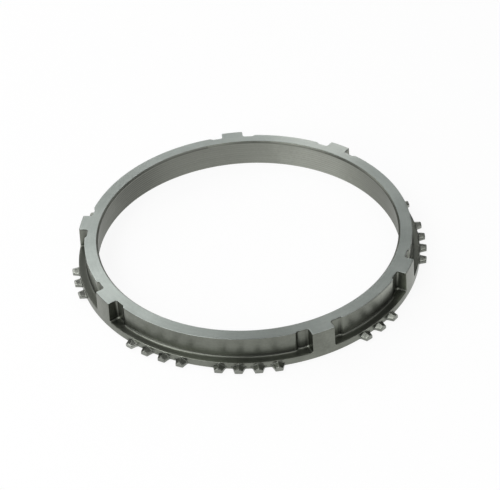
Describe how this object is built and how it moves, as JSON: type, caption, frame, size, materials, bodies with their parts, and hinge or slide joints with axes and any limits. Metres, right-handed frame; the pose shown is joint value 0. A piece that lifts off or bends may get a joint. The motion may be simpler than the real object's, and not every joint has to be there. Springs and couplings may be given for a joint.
{
  "type": "synchronizer ring",
  "caption": "Steel synchronizer ring with an inner friction cone, blocking teeth on a flange at its foot and guide lugs on its outside.",
  "frame": {"origin": "on the ring's axis, in the plane of the base that it rests on", "axes": "+Z along the ring's axis, towards the flush top face of wall and lugs; +Y through the middle of one lug pair"},
  "size_m": [0.1524, 0.1526, 0.0133],
  "materials": {
    "machined_steel": "machined faces and dark forged flanks, semi-gloss"
  },
  "bodies": {
    "root": {"synchronizer_ring": "machined_steel"}
  },
  "joints": []
}
